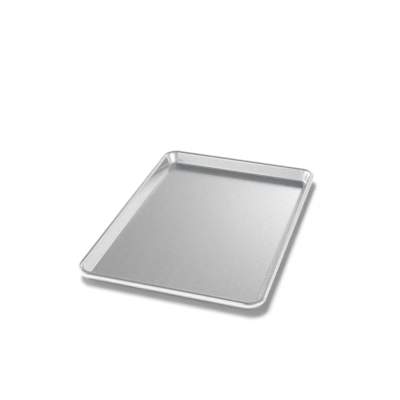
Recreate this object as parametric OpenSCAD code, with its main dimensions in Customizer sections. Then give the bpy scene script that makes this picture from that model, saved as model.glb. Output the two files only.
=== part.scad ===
// Jelly roll pan: a shallow tray drawn from one sheet, with its edge rolled round a steel wire.
// Millimetres. The origin is the middle of the floor's underside, +Y runs along the pan, +Z is up.

/* [Pan] */
// Overall length, over the rolled rim
pan_length = 390; // [300:1:480]
// Overall width, over the rolled rim
pan_width = 266; // [200:1:340]
// Overall height, from the underside of the floor to the top of the rim
pan_height = 20.5; // [15:0.5:30]
// Thickness of the sheet
sheet_t = 1; // [0.6:0.1:1.4]

/* [Wall] */
// Lean of the wall, in degrees from upright
wall_lean = 19; // [10:1:35]
// Inside radius of the bend between the floor and the wall
foot_bend_r = 4; // [1:0.5:8]
// Radius of the corner seen from above, where the inside of the wall would meet the floor
foot_corner_r = 10; // [7:0.5:30]

/* [Rim] */
// Diameter of the wire inside the rolled rim
wire_d = 5.5; // [3:0.1:7]
// Clearance between the wire and the sheet rolled round it
wire_gap = 0.2; // [0.05:0.05:0.4]
// Length of the flat stretch on the outside of the rolled rim, which makes it taller than it is thick
rim_flat = 2.8; // [0:0.1:4]
// Gap left between the rolled edge of the sheet and the outside of the wall
curl_gap = 0.6; // [0.3:0.1:1.2]
// Gap between the two ends of the wire, where they meet halfway along one side
wire_end_gap = 0.5; // [0.2:0.1:2]

/* [Hidden] */
$fn = 96;
// Turn, in degrees, between two points on a rounded stretch of the sheet's outline
arc_step = 10;

// The rolled rim: its outside radius, the height of the wire's middle and the angle at which its edge stops
bead_r = wire_d / 2 + wire_gap + sheet_t;
bead_z = pan_height - bead_r;
wall_side = 180 - wall_lean;
curl_stop = wall_side - 360 + acos((bead_r - sheet_t - curl_gap) / bead_r);

// The wall's inside face runs up to this height and this far outward, where it turns into the rim
wall_top_z = bead_z + bead_r * sin(wall_lean);
wall_run = (wall_top_z - sheet_t) * tan(wall_lean);

// Every corner turns about one upright axis, so floor, wall, rim and wire share their centre there.
// The axis lies on a whole hundredth of a millimetre, so that sides and corners meet face to face.
axis_x = round(100 * (pan_width / 2 - bead_r * (1 + cos(wall_lean)) - wall_run - foot_corner_r)) / 100;
axis_y = axis_x + (pan_length - pan_width) / 2;
rim_corner_r = pan_width / 2 - bead_r - axis_x;

// Middle of the bend at the foot, out from the corner's axis and up
bend_x = rim_corner_r - bead_r * cos(wall_lean) - wall_run - foot_bend_r * tan((90 - wall_lean) / 2);
bend_z = sheet_t + foot_bend_r;

// Points along an arc: its two ends, and each whole step of angle that lies between them
function arc(middle, r, from, to) =
    let (
        between = [for (a = [-180:arc_step:180]) if (a > min(from, to) && a < max(from, to)) a],
        rising = concat([min(from, to)], between, [max(from, to)]),
        last = len(rising) - 1
    )
    [for (i = [0:last]) let (a = rising[from < to ? i : last - i]) middle + r * [cos(a), sin(a)]];

// Across the sheet, with x outward from the corner's axis and y up: along the underside and the
// outside of the wall, over the wire, down a flat stretch that lies along the wall and under to the
// rolled edge, and back along the face that food touches
module sheet_section() {
    bend = [bend_x, bend_z];
    over = [rim_corner_r, bead_z];
    under = over - rim_flat * [sin(wall_lean), cos(wall_lean)];
    polygon(concat(
        [[0, 0]],
        arc(bend, foot_bend_r + sheet_t, -90, -wall_lean),
        arc(over, bead_r - sheet_t, wall_side, -wall_lean),
        arc(under, bead_r - sheet_t, -wall_lean, curl_stop),
        arc(under, bead_r, curl_stop, -wall_lean),
        arc(over, bead_r, -wall_lean, wall_side),
        arc(bend, foot_bend_r, -wall_lean, -90),
        [[0, sheet_t]]
    ));
}

// Across the wire
module wire_section() {
    translate([rim_corner_r, bead_z]) circle(d = wire_d);
}

// A section drawn out into a straight side: it lies this far out and is this long
module straight_side(out, length) {
    translate([out, length / 2, 0]) rotate([90, 0, 0]) linear_extrude(length) children();
}

// A section carried once round the pan, straight along the sides and turned in the corners
module carried_round() {
    for (half = [0, 180]) rotate(half) {
        straight_side(axis_x, 2 * axis_y) children();
        rotate(90) straight_side(axis_y, 2 * axis_x) children();
        translate([axis_x, axis_y, 0]) rotate_extrude(angle = 90) children();
        translate([-axis_x, axis_y, 0]) rotate(90) rotate_extrude(angle = 90) children();
    }
}

// The drawn sheet: flat floor, leaning wall and rolled edge in one piece
module pan_body() {
    color([0.80, 0.80, 0.81]) {
        translate([-axis_x, -axis_y, 0]) cube([2 * axis_x, 2 * axis_y, sheet_t]);
        carried_round() sheet_section();
    }
}

// The wire ring that stiffens the rim, open by a hair halfway along its right side
module rim_wire() {
    color([0.55, 0.56, 0.58]) difference() {
        carried_round() wire_section();
        translate([axis_x + rim_corner_r, 0, bead_z]) cube([2 * wire_d, wire_end_gap, 2 * wire_d], center = true);
    }
}

pan_body();
rim_wire();
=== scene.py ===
# %% [markdown]
# # Jelly roll pan
# A jelly roll pan is one sheet of natural aluminium, drawn into a shallow oblong tray.
# Its edge is rolled outward and under, round a ring of steel wire.
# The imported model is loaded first, and everything below is placed by its sizes, in metres.

# %% Load the frame
from math import acos, cos, pi, radians, sin, tan

import bpy
from mathutils import Matrix, Vector


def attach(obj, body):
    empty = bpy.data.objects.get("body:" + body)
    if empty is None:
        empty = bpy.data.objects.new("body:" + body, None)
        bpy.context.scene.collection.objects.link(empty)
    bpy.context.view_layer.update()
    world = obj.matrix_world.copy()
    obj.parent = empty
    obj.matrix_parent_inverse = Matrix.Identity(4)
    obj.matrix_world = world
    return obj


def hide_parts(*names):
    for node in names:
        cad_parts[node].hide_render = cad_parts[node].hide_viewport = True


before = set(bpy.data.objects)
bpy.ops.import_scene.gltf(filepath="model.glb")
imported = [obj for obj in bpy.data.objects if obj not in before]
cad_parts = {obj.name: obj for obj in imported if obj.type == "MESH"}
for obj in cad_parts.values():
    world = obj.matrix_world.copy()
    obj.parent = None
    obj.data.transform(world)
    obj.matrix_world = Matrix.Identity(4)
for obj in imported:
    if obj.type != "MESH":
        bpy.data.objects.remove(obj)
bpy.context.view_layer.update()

# %% [markdown]
# ## The camera
# The camera stands in front of the pan, a little to its right and some 30 degrees above the table.
# Its place was worked out from the four straight sides of the rim in the photograph.
# It is set from numbers and not by Blender's own camera helpers, so that it doesn't depend on the render size.

# %% Camera
CAMERA_TURN = radians(17.57)
CAMERA_RISE = radians(30.3)
CAMERA_DISTANCE = 1.1745
CAMERA_SLIDE = Vector((0.0109, -0.0249))
FOCAL_PIXELS = 769.7
FRAME_PIXELS = 400
RIM_HEIGHT = 0.0172


def aim_camera():
    """A camera that looks at the middle of the pan's rim, slid sideways to frame it as the photograph does."""
    camera = bpy.data.objects.new("camera", bpy.data.cameras.new("camera"))
    bpy.context.collection.objects.link(camera)
    back = Vector((sin(CAMERA_TURN) * cos(CAMERA_RISE), -cos(CAMERA_TURN) * cos(CAMERA_RISE), sin(CAMERA_RISE)))
    right = Vector((0, 0, 1)).cross(back).normalized()
    up = back.cross(right)
    place = Vector((0, 0, RIM_HEIGHT)) + CAMERA_DISTANCE * back - CAMERA_SLIDE.x * right - CAMERA_SLIDE.y * up
    camera.matrix_world = Matrix.Translation(place) @ Matrix((right, up, back)).transposed().to_4x4()
    camera.data.sensor_width = 36
    camera.data.lens = FOCAL_PIXELS * 36 / FRAME_PIXELS
    bpy.context.scene.camera = camera
    print("camera at, mm:", [round(1000 * c) for c in place], "lens, mm:", round(camera.data.lens, 1))


aim_camera()

# %% [markdown]
# ## The section of the sheet
# Cut the pan anywhere along a side and the cut looks the same: flat floor, round bend, leaning wall, rolled edge.
# So the whole sheet is described by one drawing, its section, and the rounded oblong that it is carried round.
# The section is drawn first, from the same sizes as the solid model, but with a point every few degrees of a bend.
# In the drawing X runs outward from the middle of a corner's curve, and Y runs up from the table.

# %% Sizes of the sheet
PAN_LENGTH = 0.390
PAN_WIDTH = 0.266
PAN_HEIGHT = 0.0205
SHEET = 0.001
WALL_LEAN = radians(19)
FOOT_BEND = 0.004
FOOT_CORNER = 0.010
WIRE = 0.0055
WIRE_GAP = 0.0002
RIM_FLAT = 0.0028
CURL_GAP = 0.0006

bead = WIRE / 2 + WIRE_GAP + SHEET
bead_height = PAN_HEIGHT - bead
curl_from = pi - WALL_LEAN
curl_to = curl_from - 2 * pi + acos((bead - SHEET - CURL_GAP) / bead)
wall_run = (bead_height + bead * sin(WALL_LEAN) - SHEET) * tan(WALL_LEAN)
AXIS_X = round(PAN_WIDTH / 2 - bead * (1 + cos(WALL_LEAN)) - wall_run - FOOT_CORNER, 5)
AXIS_Y = AXIS_X + (PAN_LENGTH - PAN_WIDTH) / 2
rim_corner = PAN_WIDTH / 2 - bead - AXIS_X
bend_out = rim_corner - bead * cos(WALL_LEAN) - wall_run - FOOT_BEND * tan((pi / 2 - WALL_LEAN) / 2)
bend_end = bend_out + FOOT_BEND * (pi / 2 - WALL_LEAN)
wall_end = bend_end + wall_run / sin(WALL_LEAN) - FOOT_BEND * tan((pi / 2 - WALL_LEAN) / 2)
turn_end = wall_end + bead * pi
print("rolled edge, mm:", round(2000 * bead, 2), "corner radius at the rim, mm:", round(1000 * (rim_corner + bead), 2))

# %% Draw the section
BEND_STEP = radians(6)
WALL_STEP = 0.0016


def arc(middle, radius, start, stop):
    """Points along an arc, from the angle start to the angle stop."""
    steps = max(1, round(abs(stop - start) / BEND_STEP))
    turns = [start + (stop - start) * i / steps for i in range(steps + 1)]
    return [(middle[0] + radius * cos(a), middle[1] + radius * sin(a)) for a in turns]


def straight(a, b):
    """Points between a and b, without the two ends."""
    steps = max(1, round((Vector(b) - Vector(a)).length / WALL_STEP))
    return [tuple(Vector(a).lerp(Vector(b), i / steps)) for i in range(1, steps)]


def sheet_section():
    """The sheet cut across one side: from the floor's underside, round the curl and back to the floor's top."""
    bend_middle = (bend_out, SHEET + FOOT_BEND)
    wire_middle = (rim_corner, bead_height)
    turn_middle = (rim_corner - RIM_FLAT * sin(WALL_LEAN), bead_height - RIM_FLAT * cos(WALL_LEAN))
    under = arc(bend_middle, FOOT_BEND + SHEET, -pi / 2, -WALL_LEAN)
    inside = arc(wire_middle, bead - SHEET, curl_from, -WALL_LEAN) + arc(turn_middle, bead - SHEET, -WALL_LEAN, curl_to)
    outside = arc(turn_middle, bead, curl_to, -WALL_LEAN) + arc(wire_middle, bead, -WALL_LEAN, curl_from)
    top = arc(bend_middle, FOOT_BEND, -WALL_LEAN, -pi / 2)
    points = [(0, 0)] + straight((0, 0), under[0]) + under
    points += straight(under[-1], inside[0]) + inside
    points += outside + straight(outside[-1], top[0])
    return points + top + straight(top[-1], (0, SHEET)) + [(0, SHEET)]


section = sheet_section()
print("points round the section:", len(section))

# %% [markdown]
# ## Carrying the section round the pan
# A Curve to Mesh node could sweep the section, but at the corners it would tilt the first and last cut a little.
# Here it only lays out the faces, and a Set Position node then puts every point where the rule says.
# The rule: the nearest point of an inner oblong is the cut's foot, and the cut faces from there to the path.
# Along a side the foot moves with the cut. In a corner it stands still, and the cuts fan out round it.
# The inner oblong itself is the flat floor, a grid on top and one below, welded to the cuts along its edge.

# %% Helpers for node trees


def add_node(tree, kind, settings=None, **inputs):
    """Adds a node. Inputs are given by socket name, with _ for a space, as a value or as the socket to link."""
    node = tree.nodes.new(kind)
    for name, value in (settings or {}).items():
        setattr(node, name, value)
    for name, value in inputs.items():
        socket = node.inputs[int(name[1:])] if name[1:].isdigit() else node.inputs[name.replace("_", " ")]
        if isinstance(value, bpy.types.NodeSocket):
            tree.links.new(value, socket)
        else:
            socket.default_value = value
    return node


def math(tree, operation, a, b=0.0, c=0.0, clamp=False):
    """The result of a Math node on two or three numbers."""
    return add_node(tree, "ShaderNodeMath", {"operation": operation, "use_clamp": clamp}, i0=a, i1=b, i2=c).outputs[0]


def vector_math(tree, operation, a, b=(0, 0, 0)):
    """The result of a Vector Math node on one or two vectors."""
    return add_node(tree, "ShaderNodeVectorMath", {"operation": operation}, i0=a, i1=b).outputs[0]


def step(tree, value, low, high):
    """0 below low, 1 above high, and a smooth slope between."""
    node = add_node(tree, "ShaderNodeMapRange", {"interpolation_type": "SMOOTHSTEP"}, i0=value, i1=low, i2=high, i3=0.0, i4=1.0)
    return node.outputs[0]


def blend(tree, factor, a, b):
    """a where factor is 0, b where it is 1."""
    return add_node(tree, "ShaderNodeMix", {"data_type": "FLOAT"}, Factor=factor, A=a, B=b).outputs[0]


# %% Helpers that keep values on points


def keep(tree, geometry, values):
    """Keeps numbers and vectors on the points of a geometry, under names that become the node's outputs."""
    node = tree.nodes.new("GeometryNodeCaptureAttribute")
    for name, value in values.items():
        node.capture_items.new("FLOAT" if value.type == "VALUE" else "VECTOR", name)
        tree.links.new(value, node.inputs[name])
    tree.links.new(geometry, node.inputs[0])
    return node


def mark(tree, geometry, name, value):
    """Writes a number or a vector on the points of a mesh as a named attribute, which a material can read."""
    kind = "FLOAT" if value.type == "VALUE" else "FLOAT_VECTOR"
    return add_node(tree, "GeometryNodeStoreNamedAttribute", {"data_type": kind},
                    Geometry=geometry, Name=name, Value=value).outputs[0]


# %% Tree that carries a section round the pan


def carry_tree():
    """Geometry Nodes: sweeps a section round the pan, lays the floor between, and welds them together."""
    tree = bpy.data.node_groups.new("carry_section_round", "GeometryNodeTree")
    face = tree.interface
    face.new_socket("Section", in_out="INPUT", socket_type="NodeSocketObject")
    for name in ("Inner Width", "Inner Length", "Path Radius", "Thickness", "Crown", "Unevenness"):
        face.new_socket(name, in_out="INPUT", socket_type="NodeSocketFloat")
    for name in ("Cells Across", "Cells Along", "Corner Cuts", "Seed"):
        face.new_socket(name, in_out="INPUT", socket_type="NodeSocketInt")
    face.new_socket("Finish", in_out="INPUT", socket_type="NodeSocketMaterial")
    face.new_socket("Geometry", in_out="OUTPUT", socket_type="NodeSocketGeometry")
    given = tree.nodes.new("NodeGroupInput").outputs

    # the path: an oblong with round corners, and as many points along its sides as the floor has cells
    wide = math(tree, "MULTIPLY_ADD", given["Path Radius"], 2.0, given["Inner Width"])
    long = math(tree, "MULTIPLY_ADD", given["Path Radius"], 2.0, given["Inner Length"])
    oblong = add_node(tree, "GeometryNodeCurvePrimitiveQuadrilateral", Width=wide, Height=long)
    rounded = add_node(tree, "GeometryNodeFilletCurve", {"mode": "POLY"},
                       Curve=oblong.outputs[0], Count=given["Corner Cuts"], Radius=given["Path Radius"])
    index = tree.nodes.new("GeometryNodeInputIndex").outputs[0]
    per_corner = math(tree, "ADD", given["Corner Cuts"], 1.0)
    in_corner = math(tree, "MODULO", index, per_corner)
    last = math(tree, "COMPARE", in_corner, given["Corner Cuts"], 0.5)
    corner = math(tree, "FLOOR", math(tree, "DIVIDE", index, per_corner))
    odd = math(tree, "MODULO", corner, 2.0)
    cells = add_node(tree, "ShaderNodeMix", {"data_type": "FLOAT"}, Factor=odd,
                     A=given["Cells Across"], B=given["Cells Along"]).outputs[0]
    cuts = math(tree, "MULTIPLY", last, math(tree, "SUBTRACT", cells, 1.0))
    path = add_node(tree, "GeometryNodeSubdivideCurve", Curve=rounded.outputs[0], Cuts=cuts)

    # at each point of the path: the foot of its cut, and the way that the cut faces
    place = tree.nodes.new("GeometryNodeInputPosition").outputs[0]
    half = add_node(tree, "ShaderNodeCombineXYZ", X=math(tree, "MULTIPLY", given["Inner Width"], 0.5),
                    Y=math(tree, "MULTIPLY", given["Inner Length"], 0.5)).outputs[0]
    other = vector_math(tree, "MULTIPLY", half, (-1, -1, -1))
    foot = vector_math(tree, "MAXIMUM", vector_math(tree, "MINIMUM", place, half), other)
    facing = vector_math(tree, "NORMALIZE", vector_math(tree, "SUBTRACT", place, foot))
    path = keep(tree, path.outputs[0], {"foot": foot, "facing": facing})
    cut = add_node(tree, "GeometryNodeObjectInfo", Object=given["Section"]).outputs["Geometry"]
    cut = add_node(tree, "GeometryNodeMeshToCurve", Mesh=cut).outputs[0]
    passed = tree.nodes.new("GeometryNodeSplineParameter").outputs["Length"]
    whole_length = add_node(tree, "GeometryNodeCurveLength", Curve=cut).outputs[0]
    run = math(tree, "MINIMUM", passed, math(tree, "SUBTRACT", whole_length, passed))
    cut = keep(tree, cut, {"drawn": place, "run": run})

    # the faces, and then every point by the rule
    swept = add_node(tree, "GeometryNodeCurveToMesh", Curve=path.outputs["Geometry"],
                     Profile_Curve=cut.outputs["Geometry"]).outputs[0]
    drawn = add_node(tree, "ShaderNodeSeparateXYZ", Vector=cut.outputs["drawn"]).outputs
    out = add_node(tree, "ShaderNodeVectorMath", {"operation": "SCALE"}, i0=path.outputs["facing"], Scale=drawn["X"])
    up = add_node(tree, "ShaderNodeCombineXYZ", Z=drawn["Y"]).outputs[0]
    there = vector_math(tree, "ADD", path.outputs["foot"], vector_math(tree, "ADD", out.outputs[0], up))
    swept = add_node(tree, "GeometryNodeSetPosition", Geometry=swept, Position=there).outputs[0]
    swept = add_node(tree, "GeometryNodeFlipFaces", Mesh=swept).outputs[0]

    # where each point lay on the flat blank, before the sheet was drawn, and how far from the floor's edge
    far = add_node(tree, "ShaderNodeVectorMath", {"operation": "SCALE"}, i0=path.outputs["facing"],
                   Scale=cut.outputs["run"]).outputs[0]
    swept = mark(tree, swept, "blank", vector_math(tree, "ADD", path.outputs["foot"], far))
    swept = mark(tree, swept, "run", cut.outputs["run"])

    # the floor's two faces, a hair higher in the middle than at the edge, and never quite even
    floor = add_node(tree, "GeometryNodeMeshGrid", Size_X=given["Inner Width"], Size_Y=given["Inner Length"],
                     Vertices_X=math(tree, "ADD", given["Cells Across"], 1.0),
                     Vertices_Y=math(tree, "ADD", given["Cells Along"], 1.0)).outputs[0]
    floor = mark(tree, floor, "blank", place)
    part_x, part_y, none = add_node(tree, "ShaderNodeSeparateXYZ",
                                    Vector=vector_math(tree, "DIVIDE", place, half)).outputs
    inside_x = math(tree, "SUBTRACT", 1.0, math(tree, "MULTIPLY", part_x, part_x))
    inside_y = math(tree, "SUBTRACT", 1.0, math(tree, "MULTIPLY", part_y, part_y))
    inside = math(tree, "MULTIPLY", math(tree, "MULTIPLY", inside_x, inside_x), math(tree, "MULTIPLY", inside_y, inside_y))
    swell = add_node(tree, "ShaderNodeTexNoise", {"noise_dimensions": "4D"}, Vector=place, W=given["Seed"],
                     Scale=SWELLS, Detail=0.0).outputs[0]
    rise = math(tree, "MULTIPLY_ADD", swell, given["Unevenness"], given["Crown"])
    lifted = add_node(tree, "ShaderNodeCombineXYZ", Z=math(tree, "MULTIPLY", inside, rise)).outputs[0]
    floor = add_node(tree, "GeometryNodeSetPosition", Geometry=floor, Offset=lifted).outputs[0]
    below = add_node(tree, "GeometryNodeFlipFaces", Mesh=floor).outputs[0]
    lift = add_node(tree, "ShaderNodeCombineXYZ", Z=given["Thickness"]).outputs[0]
    above = add_node(tree, "GeometryNodeTransform", Geometry=floor, Translation=lift).outputs[0]
    whole = tree.nodes.new("GeometryNodeJoinGeometry")
    for part in (swept, below, above):
        tree.links.new(part, whole.inputs[0])
    welded = add_node(tree, "GeometryNodeMergeByDistance", Geometry=whole.outputs[0], Distance=WELD).outputs[0]
    smooth = add_node(tree, "GeometryNodeSetShadeSmooth", Geometry=welded).outputs[0]
    real = add_node(tree, "GeometryNodeRealizeInstances", Geometry=smooth).outputs[0]
    finished = add_node(tree, "GeometryNodeSetMaterial", Geometry=real, Material=given["Finish"]).outputs[0]
    tree.links.new(finished, tree.nodes.new("NodeGroupOutput").inputs[0])
    return tree


WELD = 0.00001
SWELLS = 14.0
round_the_pan = carry_tree()
print("nodes in the tree:", len(round_the_pan.nodes))

# %% [markdown]
# ## Natural aluminium
# Natural aluminium is pale and grey, and satin where it has only been rolled and pressed.
# Rolling leaves a fine straight grain, here along X. It was there before the sheet was drawn,
# so it runs over the floor and up the walls, and it is laid out on where each point lay on the flat blank.
# The grain goes into the roughness and the bump, and only a little into the colour.
# The rolled edge is smoother than the rest, because the tool that rolled it rubbed along it.

# %% Aluminium of the sheet


def noise(tree, place, stretch, detail):
    """Noise from 0 to 1 on a place that is first stretched along each axis: a large number is a fine pattern."""
    stretched = vector_math(tree, "MULTIPLY", place, stretch)
    return add_node(tree, "ShaderNodeTexNoise", Vector=stretched, Scale=1.0, Detail=detail).outputs[0]


def attribute(tree, name, output):
    """An attribute that was written on the mesh."""
    return add_node(tree, "ShaderNodeAttribute", {"attribute_name": name}).outputs[output]


def spread(tree, value, low, high):
    """Spreads the middle half of a noise over the stretch from low to high."""
    return add_node(tree, "ShaderNodeMapRange", i0=value, i1=0.25, i2=0.75, i3=low, i4=high).outputs[0]


def mixed(tree, factor, a, b):
    """The colour a where factor is 0, and b where it is 1."""
    node = add_node(tree, "ShaderNodeMix", {"data_type": "RGBA"}, Factor=factor)
    node.inputs["A"].default_value = (*a, 1)
    node.inputs["B"].default_value = (*b, 1)
    return node.outputs["Result"]


def new_metal(name):
    """A new metal: its material, its node tree and its shader."""
    material = bpy.data.materials.new(name)
    material.use_nodes = True
    shader = material.node_tree.nodes["Principled BSDF"]
    shader.inputs["Metallic"].default_value = 1
    return material, material.node_tree, shader


def satin_aluminium():
    """Rolled aluminium sheet, with its grain on the blank and its edge burnished."""
    material, tree, shader = new_metal("satin_aluminium")
    blank = attribute(tree, "blank", "Vector")
    run = attribute(tree, "run", "Fac")
    grain = noise(tree, blank, (28, 1400, 0), 4.0)
    flecks = noise(tree, blank, (110, 640, 0), 3.0)
    clouds = noise(tree, attribute_place(tree), (22, 22, 22), 3.0)
    tint = math(tree, "MULTIPLY_ADD", flecks, 0.8, math(tree, "MULTIPLY", clouds, 0.2))
    links = tree.links
    links.new(mixed(tree, spread(tree, tint, 0.0, 1.0), (0.825, 0.825, 0.83), (0.975, 0.975, 0.98)), shader.inputs["Base Color"])
    roughness = spread(tree, grain, 0.18, 0.22)
    roughness = blend(tree, step(tree, run, bend_out, bend_end), roughness, 0.13)
    roughness = blend(tree, step(tree, run, wall_end - 0.0006, wall_end + 0.0006), roughness, 0.09)
    roughness = blend(tree, step(tree, run, turn_end - 0.001, turn_end + 0.002), roughness, 0.26)
    links.new(math(tree, "ADD", roughness, spread(tree, clouds, -0.02, 0.02)), shader.inputs["Roughness"])
    bump = add_node(tree, "ShaderNodeBump", Strength=0.5, Distance=0.00004,
                    Height=math(tree, "ADD", math(tree, "MULTIPLY", grain, 0.4), flecks))
    links.new(bump.outputs[0], shader.inputs["Normal"])
    return material


def attribute_place(tree):
    """The place on the finished object."""
    return add_node(tree, "ShaderNodeTexCoord").outputs["Object"]


sheet_metal = satin_aluminium()
print("nodes in the aluminium:", len(sheet_metal.node_tree.nodes))

# %% [markdown]
# ## Zinc-coated wire
# The wire inside the rim is steel with a dull coat of zinc, which looks cloudy and faintly crystalline.
# Nobody sees it in a whole pan, but a part library shows each piece by itself too, so it gets its own finish.
# The wire's solid is already right, so it stays and only its material slot is filled.

# %% Zinc of the wire


def zinc_wire():
    """Dull zinc: cloudy in colour and roughness, with fine marks along and across from drawing the wire."""
    material, tree, shader = new_metal("zinc_wire")
    place = attribute_place(tree)
    clouds = noise(tree, place, (260, 260, 260), 3.0)
    pores = noise(tree, place, (1500, 1500, 1500), 2.0)
    links = tree.links
    links.new(mixed(tree, spread(tree, clouds, 0.0, 1.0), (0.47, 0.48, 0.50), (0.56, 0.57, 0.59)), shader.inputs["Base Color"])
    links.new(spread(tree, clouds, 0.38, 0.52), shader.inputs["Roughness"])
    bump = add_node(tree, "ShaderNodeBump", Strength=0.4, Distance=0.00003, Height=pores)
    links.new(bump.outputs[0], shader.inputs["Normal"])
    return material


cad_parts["rim_wire"].material_slots[0].material = zinc_wire()

# %% Make the sheet
CELL = 0.005


def flat_drawing(name, points):
    """A mesh of edges that joins the points of a drawing in order."""
    mesh = bpy.data.meshes.new(name)
    mesh.from_pydata([(*p, 0) for p in points], [(i, i + 1) for i in range(len(points) - 1)], [])
    drawing = bpy.data.objects.new(name, mesh)
    bpy.context.collection.objects.link(drawing)
    return drawing


def run_tree(tree, name, values):
    """Makes a piece with a node tree, gives the tree its values, and turns the result into a plain mesh."""
    maker = bpy.data.objects.new("maker", bpy.data.meshes.new("maker"))
    bpy.context.collection.objects.link(maker)
    modifier = maker.modifiers.new("maker", "NODES")
    modifier.node_group = tree
    for item in tree.interface.items_tree:
        if item.in_out == "INPUT":
            modifier[item.identifier] = values[item.name]
    made = maker.evaluated_get(bpy.context.evaluated_depsgraph_get())
    mesh = bpy.data.meshes.new_from_object(made)
    mesh.name = name
    bpy.data.objects.remove(maker)
    piece = bpy.data.objects.new(name, mesh)
    bpy.context.collection.objects.link(piece)
    return piece


drawing = flat_drawing("section", section)
sheet = run_tree(round_the_pan, "drawn_sheet", {
    "Section": drawing, "Inner Width": 2 * AXIS_X, "Inner Length": 2 * AXIS_Y, "Path Radius": rim_corner,
    "Thickness": SHEET, "Crown": 0.0002, "Unevenness": 0.0002, "Seed": 7,
    "Cells Across": round(2 * AXIS_X / CELL), "Cells Along": round(2 * AXIS_Y / CELL),
    "Corner Cuts": 18, "Finish": sheet_metal})
bpy.data.objects.remove(drawing)
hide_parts("pan_body")
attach(sheet, "root")
print("sheet:", len(sheet.data.vertices), "points,", len(sheet.data.polygons), "faces")

# %% [markdown]
# ## The studio
# A white studio: a white table that keeps the pan's shadow, and soft light from above and behind, left.

# %% Table and light
TABLE_HALF = 12


def white_table():
    """A flat table under the pan, shown as white where nothing shades it."""
    mesh = bpy.data.meshes.new("table")
    corners = [(-TABLE_HALF, -TABLE_HALF, 0), (TABLE_HALF, -TABLE_HALF, 0), (TABLE_HALF, TABLE_HALF, 0), (-TABLE_HALF, TABLE_HALF, 0)]
    mesh.from_pydata(corners, [], [(0, 1, 2, 3)])
    table = bpy.data.objects.new("table", mesh)
    bpy.context.collection.objects.link(table)
    material = bpy.data.materials.new("white_table")
    material.use_nodes = True
    shader = material.node_tree.nodes["Principled BSDF"]
    shader.inputs["Base Color"].default_value = (0.95, 0.95, 0.95, 1)
    shader.inputs["Roughness"].default_value = 0.9
    shader.inputs["Specular IOR Level"].default_value = 0
    mesh.materials.append(material)


def key_light(turn, rise, spread, tilt, level):
    """A soft light so far away that it lights the whole table alike. A white surface facing it shows this level."""
    data = bpy.data.lights.new("key_light", "SUN")
    data.energy = level * pi
    data.angle = spread
    lamp = bpy.data.objects.new("key_light", data)
    bpy.context.collection.objects.link(lamp)
    to_lamp = Matrix.Rotation(tilt, 3, "X") @ Vector((sin(turn) * cos(rise), cos(turn) * cos(rise), sin(rise)))
    lamp.matrix_world = to_lamp.to_track_quat("Z", "Y").to_matrix().to_4x4()
    lamp.visible_glossy = False


white_table()


def within(tree, angle, middle, half, soft):
    """1 where an angle lies within half of the middle, 0 outside, with an edge soft degrees wide to either side."""
    off = math(tree, "ABSOLUTE", math(tree, "WRAP", math(tree, "SUBTRACT", angle, middle), 180.0, -180.0))
    return math(tree, "SUBTRACT", 1.0, step(tree, off, half - soft, half + soft))


CEILING, WALLS = 0.37, 0.95
WALL_TOP, WALL_TOP_SOFT = 42.0, 3.0
# Direction and half its width, height and half its height, softness of the edge, all in degrees, and the level
CARDS = (
    (-160, 40, 68, 12, 5, 0.10),
    (-25, 15, 40, 25, 8, 0.35),
    (5, 20, 46, 12, 3, 0.25),
    (-7, 9, 29, 5, 14, 1.40),
    (11, 8, 31, 9, 3, 0.45),
    (70, 25, 20, 30, 7, 0.55),
    (0, 40, 0, 6, 4, 0.0),
    (180, 35, 35, 28, 8, 0.45),
    (195, 6, 30, 20, 4, 0.95),
    (130, 20, 20, 6, 3, 0.35),
    (-100, 14, 7, 16, 9, 1.40),
    (105, 25, 6, 6, 5, 1.10),
)


def studio_world():
    """The studio round the pan: a dim ceiling over light walls, with cards hung before them."""
    world = bpy.data.worlds.new("studio")
    world.use_nodes = True
    tree = world.node_tree
    ray = add_node(tree, "ShaderNodeTexCoord").outputs["Generated"]
    x, y, z = add_node(tree, "ShaderNodeSeparateXYZ", Vector=ray).outputs
    rise = math(tree, "DEGREES", math(tree, "ARCSINE", z))
    turn = math(tree, "DEGREES", math(tree, "ARCTAN2", x, y))
    high = step(tree, rise, WALL_TOP - WALL_TOP_SOFT, WALL_TOP + WALL_TOP_SOFT)
    level = blend(tree, high, WALLS, CEILING)
    blue = None
    for side, half_width, height, half_height, soft, value in CARDS:
        card = math(tree, "MULTIPLY", within(tree, turn, side, half_width, soft),
                    within(tree, rise, height, half_height, soft))
        level = blend(tree, card, level, value)
        blue = blue or card
    diffuse = tree.nodes.new("ShaderNodeLightPath").outputs["Is Diffuse Ray"]
    level = math(tree, "MULTIPLY", level, math(tree, "MULTIPLY_ADD", diffuse, -0.45, 1.0))
    tree.links.new(mixed(tree, blue, (1, 1, 1), (0.92, 1.0, 1.05)), tree.nodes["Background"].inputs["Color"])
    tree.links.new(level, tree.nodes["Background"].inputs["Strength"])
    bpy.context.scene.world = world


studio_world()
for tilt in (-14, -3, 8):
    key_light(radians(-85), radians(74), radians(24), radians(tilt), 0.80 / 3)
bpy.context.scene.view_settings.view_transform = "Standard"
